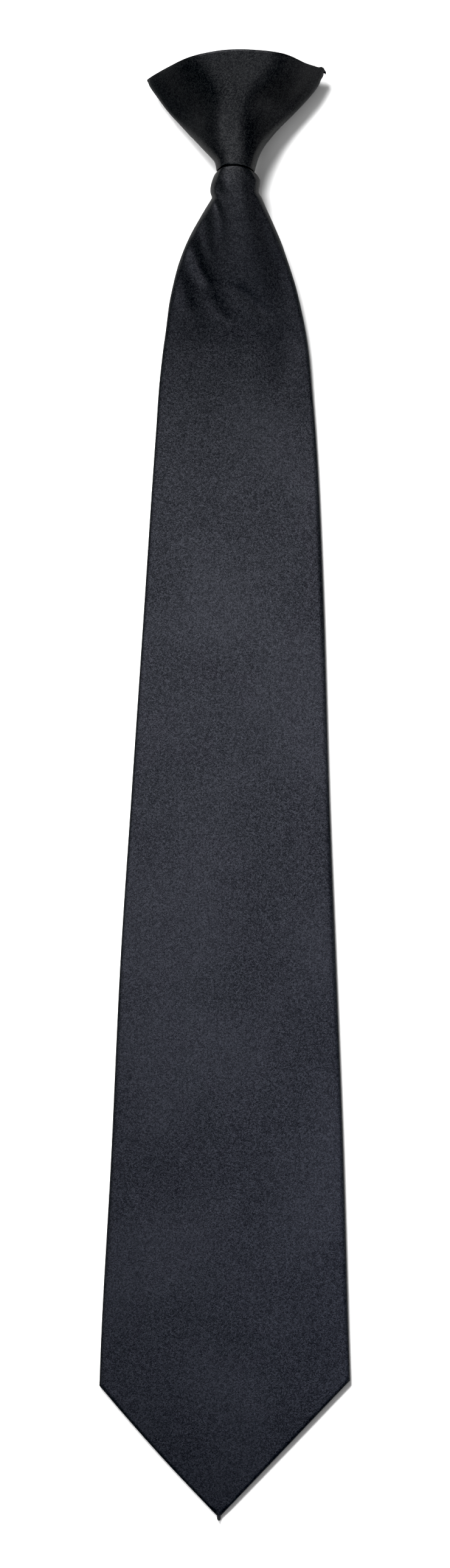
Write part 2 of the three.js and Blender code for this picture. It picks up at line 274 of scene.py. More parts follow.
def folded_columns(flap: int, roll: int, front: int) -> list[Column]:
    """Columns of a cloth that is folded round two rolled edges, from one free edge to the other.

    Args:
        flap: how many steps each back flap takes.
        roll: how many steps each rolled edge takes.
        front: how many steps the front takes.

    Returns:
        The columns, in order.
    """
    counts = (flap, roll, front, roll, flap)
    columns = [
        Column(stretch, i / count) for stretch, count in zip(Stretch, counts) for i in range(count)
    ]
    return [*columns, Column(Stretch.RIGHT_FLAP, 1.0)]


def cloth_mesh(
    name: str,
    columns: Sequence[Column],
    rows: Sequence[float],
    place: Callable[[Column, float], Vector],
    origin: Vector,
) -> bpy.types.Object:
    """Bends a flat grid of cloth to its folded shape.

    The cloth's own map holds real lengths in metres, across from the middle column and up from the
    lip, so that a weave keeps its scale and follows the folds.

    Args:
        name: name of the new object.
        columns: the columns of the grid.
        rows: places down the tie of the grid's rows, from the point up to the knot.
        place: gives where a column crosses a row, as across, minus down and height.
        origin: where the middle of the lip stands, in metres.

    Returns:
        The new object.
    """
    work = bmesh.new()
    work.loops.layers.uv.new(CLOTH_UV)
    across_steps, down_steps = len(columns) - 1, len(rows) - 1
    bmesh.ops.create_grid(work, x_segments=across_steps, y_segments=down_steps, size=1.0, calc_uvs=True)
    grid: dict[tuple[int, int], bmesh.types.BMVert] = {}
    for vert in work.verts:
        i = round((vert.co.x + 1) / 2 * across_steps)
        j = round((vert.co.y + 1) / 2 * down_steps)
        grid[i, j] = vert
        vert.co = origin + place(columns[i], rows[j]) * MM
    middle = across_steps // 2
    lengths: dict[bmesh.types.BMVert, Vector] = {}
    for j in range(len(rows)):
        for way, end in ((1, across_steps), (-1, 0)):
            run = 0.0
            for i in range(middle, end + way, way):
                if i != middle:
                    run += way * (grid[i, j].co - grid[i - way, j].co).length
                lengths[grid[i, j]] = Vector((run, grid[i, j].co.y - origin.y))
    layer = work.loops.layers.uv[CLOTH_UV]
    for face in work.faces:
        face.smooth = True
        for loop in face.loops:
            loop[layer].uv = lengths[loop.vert]
    return finish_mesh(name, work)


def finish_mesh(name: str, work: bmesh.types.BMesh) -> bpy.types.Object:
    """Turns a bmesh into an object at the origin.

    Args:
        name: name of the new object.
        work: the bmesh, which is freed.

    Returns:
        The new object, linked to the scene.
    """
    mesh = bpy.data.meshes.new(name)
    work.to_mesh(mesh)
    work.free()
    piece = bpy.data.objects.new(name, mesh)
    bpy.context.scene.collection.objects.link(piece)
    return piece


def give_wall(piece: bpy.types.Object, thickness: float) -> None:
    """Gives a sheet its thickness, inwards.

    Args:
        piece: the sheet.
        thickness: the thickness of the cloth, in millimetres.
    """
    wall = piece.modifiers.new("cloth wall", "SOLIDIFY")
    wall.thickness = thickness * MM
    wall.offset = -1.0
    wall.use_rim = True
    wall.thickness_clamp = 1.0


class ShaderSheet:
    """A node tree that is filled in with short calls."""

    def __init__(self, tree: bpy.types.NodeTree) -> None:
        """Keeps the tree, emptied of its first nodes."""
        self.tree = tree
        tree.nodes.clear()

    def add(self, kind: str, inputs: Optional[dict] = None, **settings: object) -> bpy.types.Node:
        """Adds a node.

        Args:
            kind: the node's type, without its Shader or Node prefix where that is ShaderNode.
            inputs: a value, or the socket to link from, for each input by name or number.
            settings: the node's own properties.

        Returns:
            The new node.
        """
        full = kind if kind.startswith("Node") else f"ShaderNode{kind}"
        node = self.tree.nodes.new(full)
        for key, value in settings.items():
            setattr(node, key, value)
        for key, value in (inputs or {}).items():
            if isinstance(value, bpy.types.NodeSocket):
                self.tree.links.new(value, node.inputs[key])
            else:
                node.inputs[key].default_value = value
        return node

    def math(self, operation: str, *values: object) -> bpy.types.NodeSocket:
        """Output of a Math node that works on numbers or sockets."""
        return self.add("Math", dict(enumerate(values)), operation=operation).outputs[0]

    def mix(self, share: object, first: object, second: object) -> bpy.types.NodeSocket:
        """Output of a Mix node between two numbers, or two colours where the first is a tuple."""
        colours = isinstance(first, tuple)
        first, second = ((*end, 1.0) if isinstance(end, tuple) else end for end in (first, second))
        kind = "RGBA" if colours else "FLOAT"
        node = self.add("Mix", {"Factor": share, "A": first, "B": second}, data_type=kind)
        return node.outputs[2 if colours else 0]

    def surface(self, inputs: dict) -> None:
        """Adds a Principled node with these inputs, and the material's output."""
        principled = self.add("BsdfPrincipled", inputs)
        self.add("OutputMaterial", {"Surface": principled.outputs[0]})


def new_material(name: str) -> tuple[bpy.types.Material, ShaderSheet]:
    """Makes a material, and gives it with an empty sheet for its nodes."""
    material = bpy.data.materials.new(name)
    material.use_nodes = True
    return material, ShaderSheet(material.node_tree)


def shader_group(
    name: str,
    inputs: Iterable[tuple[str, str, object]],
    outputs: Iterable[tuple[str, str]],
    build: Callable[[ShaderSheet, bpy.types.Node], dict],
) -> bpy.types.NodeTree:
    """Makes a shader node group once, and gives the same one back after that.

    Args:
        name: the group's name.
        inputs: the name, socket type and default of each input.
        outputs: the name and socket type of each output.
        build: fills the group in, and gives the socket that feeds each output.

    Returns:
        The group's node tree.
    """
    if name in bpy.data.node_groups:
        return bpy.data.node_groups[name]
    tree = bpy.data.node_groups.new(name, "ShaderNodeTree")
    for label, kind, default in inputs:
        socket = tree.interface.new_socket(label, in_out="INPUT", socket_type=kind)
        if default is not None:
            socket.default_value = default
    for label, kind in outputs:
        tree.interface.new_socket(label, in_out="OUTPUT", socket_type=kind)
    sheet = ShaderSheet(tree)
    entry = sheet.add("NodeGroupInput")
    sheet.add("NodeGroupOutput", build(sheet, entry))
    return tree


# The drift's middling cloud: how many times finer than the broad one, and its share
FINER_CLOUD, FINER_SHARE = 6.0, 0.35

# How many times wider than a cell of the grain a clump is
CLUMP_WIDTH = 2.3

# Cloud that pushes the lines of the weave aside: how fine it is, and the push in radians
WANDER_SCALE, WANDER_PUSH = 90.0, 2.5

# Cloud that the ribs show in: how fine it is, and its levels where they start and are full
PATCH_SCALE, PATCH_LEVELS = 22.0, (0.42, 0.62)


def drift_group() -> bpy.types.NodeTree:
    """Slow change over a surface, such as uneven dye or handling: a value around 0.5."""

    def build(sheet: ShaderSheet, entry: bpy.types.Node) -> dict:
        """Adds a broad and a middling cloud."""
        vector, scale = entry.outputs["Vector"], entry.outputs["Scale"]
        broad = sheet.add("TexNoise", {"Vector": vector, "Scale": scale, "Detail": 2.0})
        finer = sheet.math("MULTIPLY", scale, FINER_CLOUD)
        small = sheet.add("TexNoise", {"Vector": vector, "Scale": finer, "Detail": 3.0})
        return {"Drift": sheet.mix(FINER_SHARE, broad.outputs[0], small.outputs[0])}

    return shader_group(
        "slow drift",
        [("Vector", "NodeSocketVector", None), ("Scale", "NodeSocketFloat", 10.0)],
        [("Drift", "NodeSocketFloat")],
        build,
    )


def grain_group() -> bpy.types.NodeTree:
    """Fine grain of a surface: cells that each catch the light differently, at the size given in metres."""

    def build(sheet: ShaderSheet, entry: bpy.types.Node) -> dict:
        """Gives each cell and each clump of cells a level of its own, and each cell a small dome."""
        vector, size = entry.outputs["Vector"], entry.outputs["Size"]
        cells, clumps = (
            sheet.add("TexVoronoi", {"Vector": vector, "Scale": sheet.math("DIVIDE", 1.0, width)})
            for width in (size, sheet.math("MULTIPLY", size, CLUMP_WIDTH))
        )
        levels = [
            sheet.add("SeparateColor", {"Color": pattern.outputs["Color"]}).outputs[0]
            for pattern in (cells, clumps)
        ]
        level = sheet.mix(entry.outputs["Clumping"], *levels)
        specks = sheet.math("POWER", level, entry.outputs["Rarity"])
        return {"Specks": specks, "Height": sheet.math("SUBTRACT", 1.0, cells.outputs["Distance"])}

    return shader_group(
        "fine grain",
        [
            ("Vector", "NodeSocketVector", None),
            ("Size", "NodeSocketFloat", 0.0004),
            ("Rarity", "NodeSocketFloat", 2.0),
            ("Clumping", "NodeSocketFloat", 0.3),
        ],
        [("Specks", "NodeSocketFloat"), ("Height", "NodeSocketFloat")],
        build,
    )


def weave_group() -> bpy.types.NodeTree:
    """Satin weave on the cloth's own map: lengthwise ribs and a faint slanting twill."""

    def build(sheet: ShaderSheet, entry: bpy.types.Node) -> dict:
        """Adds the two sets of lines, and lets the ribs come and go in soft patches."""
        vector = entry.outputs["Cloth"]
        parts = sheet.add("SeparateXYZ", {"Vector": vector})
        across, up = parts.outputs[0], parts.outputs[1]
        wander = sheet.add("TexNoise", {"Vector": vector, "Scale": WANDER_SCALE, "Detail": 1.0})
        waver = sheet.math("MULTIPLY", wander.outputs[0], WANDER_PUSH)
        full_turn = 2 * math.pi
        rib_turns = sheet.math("DIVIDE", full_turn, entry.outputs["Rib Pitch"])
        rib_angle = sheet.math("MULTIPLY_ADD", across, rib_turns, waver)
        rib = sheet.math("MULTIPLY_ADD", sheet.math("SINE", rib_angle), 0.5, 0.5)
        slant = sheet.math(
            "ADD",
            sheet.math("DIVIDE", across, entry.outputs["Twill Run"]),
            sheet.math("DIVIDE", up, entry.outputs["Twill Rise"]),
        )
        twill_angle = sheet.math("MULTIPLY_ADD", slant, full_turn, waver)
        twill = sheet.math("MULTIPLY_ADD", sheet.math("SINE", twill_angle), 0.5, 0.5)
        patch = sheet.add("TexNoise", {"Vector": vector, "Scale": PATCH_SCALE, "Detail": 1.0})
        start, full = PATCH_LEVELS
        shown = sheet.add(
            "MapRange", {"Value": patch.outputs[0], "From Min": start, "From Max": full}, clamp=True
        )
        lines = sheet.math("MULTIPLY_ADD", rib, shown.outputs[0], twill)
        return {"Lines": sheet.math("MULTIPLY", lines, 0.5)}

    return shader_group(
        "satin weave",
        [
            ("Cloth", "NodeSocketVector", None),
            ("Rib Pitch", "NodeSocketFloat", 0.0005),
            ("Twill Run", "NodeSocketFloat", 0.0011),
            ("Twill Rise", "NodeSocketFloat", 0.0004),
        ],
        [("Lines", "NodeSocketFloat")],
        build,
    )


@dataclass(frozen=True)
class SatinFinish:
    """Near-black charcoal satin with a soft sheen and a fine grain. Its sheen tint is painted dim on the
    knot as painted shade, and grows brighter and bluer down the blade: the blue is the cloth's own tint,
    and the brighter sheen is painted light.
    """

    name: str = "charcoal satin"
    slot: str = "satin"
    shade: tuple[float, float, float] = (0.0010, 0.0012, 0.0013)
    speck: tuple[float, float, float] = (0.0046, 0.0052, 0.0055)
    roughness: float = 0.5
    ior: float = 1.3
    specular: float = 1.0
    grazing: float = 0.65
    grazing_level: float = 0.08
    # Sheen tints: dim on the knot as painted shade, and brighter and bluer towards the point as painted
    # light, with a ramp between them down the blade
    knot_sheen_painted_dim: tuple[float, float, float] = (0.46, 0.465, 0.49)
    point_sheen_blue_painted_bright: tuple[float, float, float] = (0.76, 0.785, 1.0)
    gap_sheen: tuple[float, float, float] = (0.10, 0.10, 0.115)
    sheen_ramp_length: float = 0.5
    sheen_ramp_onset: float = 0.3
    speck_size: float = 0.00019
    speck_rarity: float = 2.0
    speck_clumping: float = 0.42
    speck_share: float = 1.25
    line_share: float = 0.5
    rib_pitch: float = 0.000485
    twill_run: float = 0.00114
    twill_rise: float = 0.00044
    drift_scale: float = 9.0
    roughness_drift: float = 0.16
    speck_polish: float = 0.08
    weave_height: float = 0.5
    bump: float = 0.12
    bump_depth: float = 0.0002

    def material(self) -> bpy.types.Material:
        """Makes the satin's material.

        Returns:
            The material, with its weave and grain on the cloth's own map.
        """
        material, sheet = new_material(self.name)
        cloth = sheet.add("UVMap", uv_map=CLOTH_UV).outputs[0]
        place = sheet.add("TexCoord").outputs["Object"]
        weave = sheet.add(
            "Group",
            node_tree=weave_group(),
            inputs={
                "Cloth": cloth,
                "Rib Pitch": self.rib_pitch,
                "Twill Run": self.twill_run,
                "Twill Rise": self.twill_rise,
            },
        )
        grain = sheet.add(
            "Group",
            node_tree=grain_group(),
            inputs={
                "Vector": cloth,
                "Size": self.speck_size,
                "Rarity": self.speck_rarity,
                "Clumping": self.speck_clumping,
            },
        )
        drift = sheet.add("Group", {"Vector": place, "Scale": self.drift_scale}, node_tree=drift_group())
        specks = sheet.math("MULTIPLY", grain.outputs["Specks"], self.speck_share)
        tone = sheet.math("MULTIPLY_ADD", weave.outputs["Lines"], self.line_share, specks)
        # Painted shade and light: the sheen tint ramps from the dim knot tint to the brighter, bluer point
        # tint down the blade
        height_up = sheet.add("SeparateXYZ", {"Vector": cloth}).outputs[1]
        lower = sheet.add("MapRange", {"Value": height_up, "From Min": 0.0, "From Max": -self.sheen_ramp_length})
        sheen_ramp = sheet.math("POWER", lower.outputs[0], self.sheen_ramp_onset)
        thread = sheet.mix(sheen_ramp, self.knot_sheen_painted_dim, self.point_sheen_blue_painted_bright)
        sheen = sheet.mix(tone, self.gap_sheen, thread)
        facing = sheet.add("LayerWeight", {"Blend": 0.5}).outputs["Facing"]
        level = sheet.add(
            "MapRange",
            {
                "Value": facing,
                "From Max": self.grazing,
                "To Min": self.specular,
                "To Max": self.grazing_level,
            },
        )
        plain = self.roughness - self.roughness_drift / 2
        worn = sheet.math("MULTIPLY_ADD", drift.outputs[0], self.roughness_drift, plain)
        rough = sheet.math("MULTIPLY_ADD", grain.outputs["Specks"], -self.speck_polish, worn)
        height = sheet.math(
            "MULTIPLY_ADD", weave.outputs["Lines"], self.weave_height, grain.outputs["Height"]
        )
        bump = sheet.add("Bump", {"Height": height, "Strength": self.bump, "Distance": self.bump_depth})
        sheet.surface(
            {
                "Base Color": sheet.mix(tone, self.shade, self.speck),
                "Roughness": rough,
                "Normal": bump.outputs[0],
                "Specular IOR Level": level.outputs[0],
                "Specular Tint": sheen,
                "IOR": self.ior,
            }
        )
        return material


@dataclass(frozen=True)
class PlasticFinish:
    """Plain moulded black plastic with a fine texture from its mould."""

    name: str = "moulded black plastic"
    slot: str = "clip_plastic"
    shade: tuple[float, float, float] = (0.012, 0.012, 0.013)
    worn: tuple[float, float, float] = (0.03, 0.03, 0.032)
    roughness: float = 0.42
    roughness_drift: float = 0.2
    grain_size: float = 0.0005
    drift_scale: float = 60.0
    bump: float = 0.15
    bump_depth: float = 0.0001

    def material(self) -> bpy.types.Material:
        """Makes the plastic's material.

        Returns:
            The material, with its grain on object coordinates.
        """
        material, sheet = new_material(self.name)
        place = sheet.add("TexCoord").outputs["Object"]
        grain = sheet.add("Group", {"Vector": place, "Size": self.grain_size}, node_tree=grain_group())
        drift = sheet.add("Group", {"Vector": place, "Scale": self.drift_scale}, node_tree=drift_group())
        plain = self.roughness - self.roughness_drift / 2
        rough = sheet.math("MULTIPLY_ADD", drift.outputs[0], self.roughness_drift, plain)
        height = grain.outputs["Height"]
        bump = sheet.add("Bump", {"Height": height, "Strength": self.bump, "Distance": self.bump_depth})
        colour = sheet.mix(drift.outputs[0], self.shade, self.worn)
        sheet.surface({"Base Color": colour, "Roughness": rough, "Normal": bump.outputs[0]})
        return material


@dataclass(frozen=True)
class ThreadFinish:
    """Black sewing thread with the slant of its twist."""

    name: str = "black thread"
    slot: str = "satin"
    shade: tuple[float, float, float] = (0.012, 0.012, 0.014)
    lit: tuple[float, float, float] = (0.05, 0.05, 0.056)
    roughness: float = 0.6
    fibre_size: float = 0.0002
    twist_scale: float = 900.0
    bump: float = 0.4
    bump_depth: float = 0.0001

    def material(self) -> bpy.types.Material:
        """Makes the thread's material.

        Returns:
            The material, with its twist on object coordinates.
        """
        material, sheet = new_material(self.name)
        place = sheet.add("TexCoord").outputs["Object"]
        grain = sheet.add("Group", {"Vector": place, "Size": self.fibre_size}, node_tree=grain_group())
        twist = sheet.add(
            "TexWave",
            {"Vector": place, "Scale": self.twist_scale, "Distortion": 1.0},
            bands_direction="DIAGONAL",
        ).outputs[1]
        # Painted highlight: the colour is lighter along the ridges of the twist and on the tops of the
        # fibres
        tone = sheet.math("MULTIPLY", twist, grain.outputs["Height"])
        bump = sheet.add("Bump", {"Height": twist, "Strength": self.bump, "Distance": self.bump_depth})
        colour = sheet.mix(tone, self.shade, self.lit)
        sheet.surface({"Base Color": colour, "Roughness": self.roughness, "Normal": bump.outputs[0]})
        return material


@dataclass(frozen=True)
class TieFrame:
    """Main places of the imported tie, in millimetres: the cloth is drawn from these.

    down is 0 at the lip of the knot, and origin is where the middle of the lip stands, in metres.
    """

    origin: Vector
    blade_length: float
    blade_half: float
    knot_height: float
    knot_half: float
    knot_back: float

    @classmethod
    def from_nodes(cls) -> "TieFrame":
        """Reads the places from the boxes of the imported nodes."""
        blade_low, blade_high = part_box("blade")
        knot_low, knot_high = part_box("knot_wrap")
        return cls(
            origin=Vector((0.0, knot_low.y, 0.0)),
            blade_length=(knot_low.y - blade_low.y) / MM,
            blade_half=(blade_high.x - blade_low.x) / 2 / MM,
            knot_height=(knot_high.y - knot_low.y) / MM,
            knot_half=(knot_high.x - knot_low.x) / 2 / MM,
            knot_back=knot_low.z / MM,
        )


@dataclass
class Ring:
    """The narrow ring at the lower end of the knot, which squeezes the neck of the blade."""

    frame: TieFrame
    width: float = 13.3
    depth: float = 13.6
    arch: float = 2.2
    arch_powers: tuple[float, float] = (3.2, 2.0)
    roll: float = 1.6

    @property
    def front(self) -> float:
        """Height of the ring's front."""
        return self.frame.knot_back + self.depth

    def section(self, inset: float = 0.0) -> Section:
        """The ring's section, taken in by a wall.

        Args:
            inset: how far inside the ring's outer face the section lies.

        Returns:
            The section.
        """
        return Section(
            half=self.width / 2 - inset,
            edge=self.frame.knot_back + self.depth / 2,
            roll=self.roll * (1 - 2 * inset / self.depth),
            top=self.front - inset,
            under=self.frame.knot_back + inset,
            oval=1.0,
        )

    def lip_line(self, across: float) -> float:
        """How far up the tie the arched lip stands at a distance across."""
        share = clamp(abs(across) / (self.width / 2))
        return self.arch * (1 - share ** self.arch_powers[0 if across < 0 else 1])


@dataclass
class BladeCloth:
    """The long blade: gathered neck, flare, straight edges, corners and point, folded round the back."""

    frame: TieFrame
    ring: Ring
    point_height: float = 47.6
    point_offset: float = 1.6
    point_thickness: float = 2.6
    edge_bow: float = 0.8
    corner_stagger: float = 2.6
    nub_width: float = 1.3
    nub_length: float = 1.6
    folded_thickness: float = 3.6
    cloth_thickness: float = 0.9
    plug_length: float = 6.0
    plug_inset: float = 1.7
    groove_top: float = 0.35
    groove_end: float = 0.6
    gather_length: float = 13.0
    hem_width: float = 9.0
    opening_rise: float = 46.0
    seam_gap: float = 0.5
    lowest: float = 0.06
    fold_crispness: float = 0.5
    tip_narrowing: float = 0.6
    waver_onset: tuple[float, float] = (20.0, 70.0)

    # Waves of the pressed cloth, in millimetres, and the layer of the noise that each is read from
    waves = (
        # across, down, height, layer
        (34.0, 60.0, 0.22, 2.7),
        (11.0, 19.0, 0.05, 8.1),
    )

    # Share of the straight length, then of half of the width
    edge_rows = (
        # down, left, right
        (0.001, 0.150, 0.150),
        (0.0025, 0.163, 0.165),
        (0.005, 0.176, 0.184),
        (0.008, 0.187, 0.196),
        (0.0115, 0.196, 0.195),
        (0.015, 0.201, 0.188),
        (0.0175, 0.200, 0.188),
        (0.020, 0.194, 0.199),
        (0.0218, 0.188, 0.209),
        (0.0244, 0.200, 0.221),
        (0.030, 0.233, 0.245),
        (0.040, 0.289, 0.290),
        (0.050, 0.343, 0.334),
        (0.060, 0.389, 0.375),
        (0.070, 0.427, 0.409),
        (0.080, 0.459, 0.443),
        (0.095, 0.494, 0.489),
        (0.110, 0.522, 0.526),
        (0.130, 0.545, 0.568),
        (0.150, 0.570, 0.598),
        (0.180, 0.598, 0.626),
        (0.210, 0.615, 0.653),
        (0.260, 0.645, 0.687),
        (0.360, 0.700, 0.735),
        (0.510, 0.785, 0.790),
        (0.660, 0.867, 0.860),
        (0.810, 0.922, 0.929),
        (0.960, 0.989, 0.984),
        (1.0, 1.0, 1.0),
    )

    # Share of the straight length, of the way up to the ring's front, and of the height of its back
    height_rows = (
        # down, top, under
        (0.001, 1.0, 1.08),
        (0.005, 1.008, 1.03),
        (0.0115, 1.006, 1.0),
        (0.0218, 0.975, 1.0),
        (0.030, 0.935, 0.95),
        (0.040, 0.882, 0.89),
        (0.060, 0.762, 0.75),
        (0.080, 0.630, 0.61),
        (0.110, 0.430, 0.41),
        (0.150, 0.210, 0.19),
        (0.210, 0.055, 0.03),
        (0.260, 0.010, 0.0),
        (0.360, 0.0, 0.0),
        (1.0, 0.0, 0.0),
    )

    creases = (
        Crease(
            ((9.0, -8.4), (11.0, -7.0), (15.0, -5.2), (20.0, -4.6), (25.0, -5.2), (30.0, -6.4)),
            width=0.9,
            depth=0.3,
            widen=3.4,
        ),
        Crease(((8.6, -8.6), (10.2, -7.3), (13.0, -6.2), (17.0, -5.4)), 0.6, 0.15),
        Crease(((13.0, -11.2), (19.0, -10.4), (26.0, -9.4), (31.0, -8.6)), 2.0, 0.5),
        Crease(((23.0, -15.6), (29.0, -13.8), (34.0, -11.9), (39.5, -9.4)), 2.6, 1.0),
        Crease(((36.0, -18.4), (42.0, -17.6), (49.0, -15.8)), 2.4, 0.4),
        Crease(((42.0, -9.0), (47.0, -6.5), (51.5, -2.8)), 3.2, 0.35),
        Crease(((39.5, 0.8), (44.5, 5.8), (50.0, 11.4)), 3.0, 0.5),
        Crease(
            ((4.0, 4.9), (10.3, 6.5), (17.7, 9.0), (27.6, 12.6), (35.5, 15.6), (43.0, 17.6)),
            width=2.4,
            depth=0.7,
            widen=1.9,
        ),
        Crease(((52.0, 17.5), (62.0, 18.0), (74.0, 17.4)), 5.0, 0.4),
        Crease(((4.5, -6.6), (6.5, -6.0), (8.6, -5.4)), 1.5, 0.5),
    )

    def __post_init__(self) -> None:
        """Makes the curves through the tables."""
        self.left_curve, self.right_curve = curves(self.edge_rows)
        self.top_curve, self.under_curve = curves(self.height_rows)

    @property
    def straight_length(self) -> float:
        """From the lip to the corners, on average."""
        return self.frame.blade_length - self.point_height

    @property
    def nub(self) -> float:
        """Where the small nub of the point starts."""
        return self.frame.blade_length - self.nub_length

    def edge_reach(self, down: float, side: int) -> float:
        """How far the left or right edge lies from the tie's middle.

        Args:
            down: distance down from the lip.
            side: -1 for the left edge, 1 for the right.

        Returns:
            The distance, positive outwards.
        """
        turn = self.straight_length - side * self.corner_stagger / 2
        curve = self.left_curve if side < 0 else self.right_curve
        if down <= turn:
            return self.frame.blade_half * curve(down / turn)
        share = min(1.0, (down - turn) / (self.nub - turn))
        reach = lerp(self.frame.blade_half, self.nub_width / 2 - side * self.point_offset, share)
        bow = self.edge_bow * math.sin(math.pi * share) if side < 0 else 0.0
        return reach + bow

    def section(self, down: float) -> Section:
        """The blade's section at a distance down from the lip.

        Args:
            down: the distance.

        Returns:
            The section.
        """
        if down <= self.groove_top:
            return self.ring.section(self.plug_inset)
        share = down / self.straight_length
        left, right = self.edge_reach(down, -1), self.edge_reach(down, 1)
        half = (left + right) / 2
        pressed = clamp((down - self.straight_length) / self.point_height)
        folded = lerp(self.folded_thickness, self.point_thickness, pressed * pressed)
        top = folded + (self.ring.front - self.folded_thickness) * self.top_curve(share)
        under = max(self.lowest, self.frame.knot_back * self.under_curve(share))
        if down > self.frame.blade_length - 0.01:
            half *= self.tip_narrowing
        return Section(
            half=half,
            edge=(top + under) / 2,
            roll=min((folded - self.lowest) / 2, half / 2),
            top=top,
            under=under,
            oval=1 - smoothstep(share, 0.02, 0.12),
            centre=(right - left) / 2,
            crispness=lerp(1.0, self.fold_crispness, smoothstep(share, 0.05, 0.2)),
        )

    def free_edges(self, down: float) -> tuple[float, float]:
        """How far from the section's middle the two back flaps end.

        They meet along the seam, part at the top of the opening, and follow the hem to the point.

        Args:
            down: distance down from the lip.

        Returns:
            The distance for the left and for the right flap.
        """
        half = self.frame.blade_half
        apex = self.straight_length - self.opening_rise
        slope = self.point_height / half
        hem_end = self.frame.blade_length - self.hem_width * math.hypot(1, slope)
        side = half - self.hem_width
        side_down = hem_end - side * slope
        if down < apex:
            reach = 0.0
        elif down < side_down:
            reach = side * (down - apex) / (side_down - apex)
        else:
            reach = max(0.0, (hem_end - down) / slope)
        reach = max(reach, self.seam_gap / 2)
        return (reach, reach)

    def waver(self, down: float, across: float) -> float:
        """Slight unevenness of the pressed cloth, in millimetres."""
        height = sum(
            noise.noise(Vector((across / wide, down / long, layer))) * high
            for wide, long, high, layer in self.waves
        )
        return height * smoothstep(down, *self.waver_onset)

    def place(self, column: Column, down: float) -> Vector:
        """Where a column of the cloth crosses a row, as across, minus down and height.

        Args:
            column: the column.
            down: the row's distance down from the lip.

        Returns:
            The place, in millimetres.
        """
        section = self.section(down)
        plain = section.place(column, self.free_edges(down))
        across = plain.x - section.centre
        relief = 0.0
        if column.stretch in (Stretch.FRONT, Stretch.LEFT_ROLL, Stretch.RIGHT_ROLL) and down > 0:
            inward = smoothstep(section.half - abs(across), 0.0, section.roll)
            relief = sum(crease.relief(down, plain.x) for crease in self.creases) * inward
            relief += self.waver(down, plain.x) * inward
        point = section.place(column, self.free_edges(down), relief)
        arch = self.ring.lip_line(point.x) * (1 - smoothstep(down, self.groove_top, self.gather_length))
        return Vector((point.x, arch - down, point.z))

    def rows(self) -> list[float]:
        """Places of the cloth's rows, from the point up to the knot, closer where the shape is busier."""
        upper = self.straight_length - self.corner_stagger / 2
        lower = self.straight_length + self.corner_stagger / 2
        downs = [
            *spread(-self.plug_length, self.groove_top, 1.5),
            self.groove_top,
            *spread(self.groove_end, 16.0, 0.45),
            *spread(16.0, 60.0, 0.8),
            *spread(60.0, 110.0, 1.6),
            *spread(110.0, upper, 3.0),
            *spread(upper, lower, 0.65),
            *spread(lower, self.nub, 1.5),
            self.nub,
            self.nub + self.nub_length * 0.6,
            self.frame.blade_length,
        ]
        return downs[::-1]

    def build(self, finish: SatinFinish, material: bpy.types.Material) -> bpy.types.Object:
        """Makes the blade.

        Args:
            finish: the satin; not used.
            material: the satin's material.

        Returns:
            The finished piece.
        """
        columns = folded_columns(flap=20, roll=8, front=76)
        piece = cloth_mesh("blade_cloth", columns, self.rows(), self.place, self.frame.origin)
        piece.data.materials.append(material)
        give_wall(piece, self.cloth_thickness)
        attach(piece, "root")
        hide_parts("blade")
        return piece


